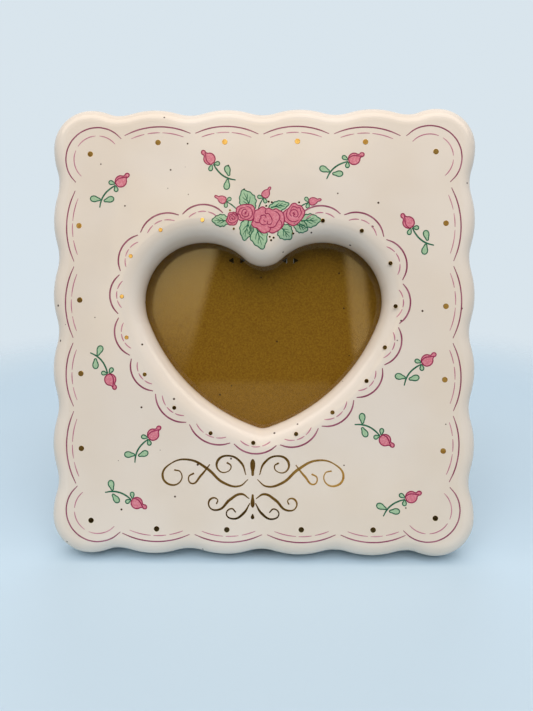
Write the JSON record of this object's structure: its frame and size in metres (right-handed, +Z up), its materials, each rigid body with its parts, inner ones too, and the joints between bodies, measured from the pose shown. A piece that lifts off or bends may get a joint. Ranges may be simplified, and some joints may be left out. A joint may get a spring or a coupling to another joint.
{
  "type": "heart-window tabletop picture frame",
  "caption": "Nearly square scalloped ceramic tabletop frame with a rolled heart-shaped window, glazed pane, board held by turn buttons, and a folding easel leg.",
  "frame": {"origin": "middle of the standing frame's footprint, on the surface that it stands on", "axes": "+X to the right as seen from the front, +Y towards the back and the easel leg, +Z up; the frame leans back 14 degrees"},
  "size_m": [0.19, 0.0822, 0.1973],
  "materials": {
    "cream_glaze": "gloss glaze",
    "clear_glass": "clear",
    "hardboard": "pressed fibre",
    "plated_steel": "nickel plated",
    "nylon": "natural nylon"
  },
  "bodies": {
    "frame": {"ceramic_front": "cream_glaze", "glass_pane": "clear_glass", "back_board": "hardboard", "board_hinge_leaf": "plated_steel", "hinge_pin": "plated_steel", "turn_button_screws": "plated_steel", "screw_plugs": "nylon"},
    "easel": {"easel_leg": "hardboard", "leg_hinge_leaf": "plated_steel"},
    "button_top_left": {"turn_button_top_left": "plated_steel"},
    "button_top_right": {"turn_button_top_right": "plated_steel"},
    "button_bottom_left": {"turn_button_bottom_left": "plated_steel"},
    "button_bottom_right": {"turn_button_bottom_right": "plated_steel"}
  },
  "joints": [
    {"name": "easel_fold", "type": "hinge", "parent": "frame", "child": "easel", "pos_m": [0, 0.01131, 0.12024], "axis": [1, 0, 0], "range_deg": [-27, 0]},
    {"name": "turn_button_top_left_swivel", "type": "hinge", "parent": "frame", "child": "button_top_left", "pos_m": [0.0523, 0.01759, 0.15372], "axis": [0, 0.9703, -0.2419], "continuous": true},
    {"name": "turn_button_top_right_swivel", "type": "hinge", "parent": "frame", "child": "button_top_right", "pos_m": [-0.0523, 0.01759, 0.15372], "axis": [0, 0.9703, -0.2419], "continuous": true},
    {"name": "turn_button_bottom_left_swivel", "type": "hinge", "parent": "frame", "child": "button_bottom_left", "pos_m": [0.0523, -0.01173, 0.03612], "axis": [0, 0.9703, -0.2419], "continuous": true},
    {"name": "turn_button_bottom_right_swivel", "type": "hinge", "parent": "frame", "child": "button_bottom_right", "pos_m": [-0.0523, -0.01173, 0.03612], "axis": [0, 0.9703, -0.2419], "continuous": true}
  ]
}
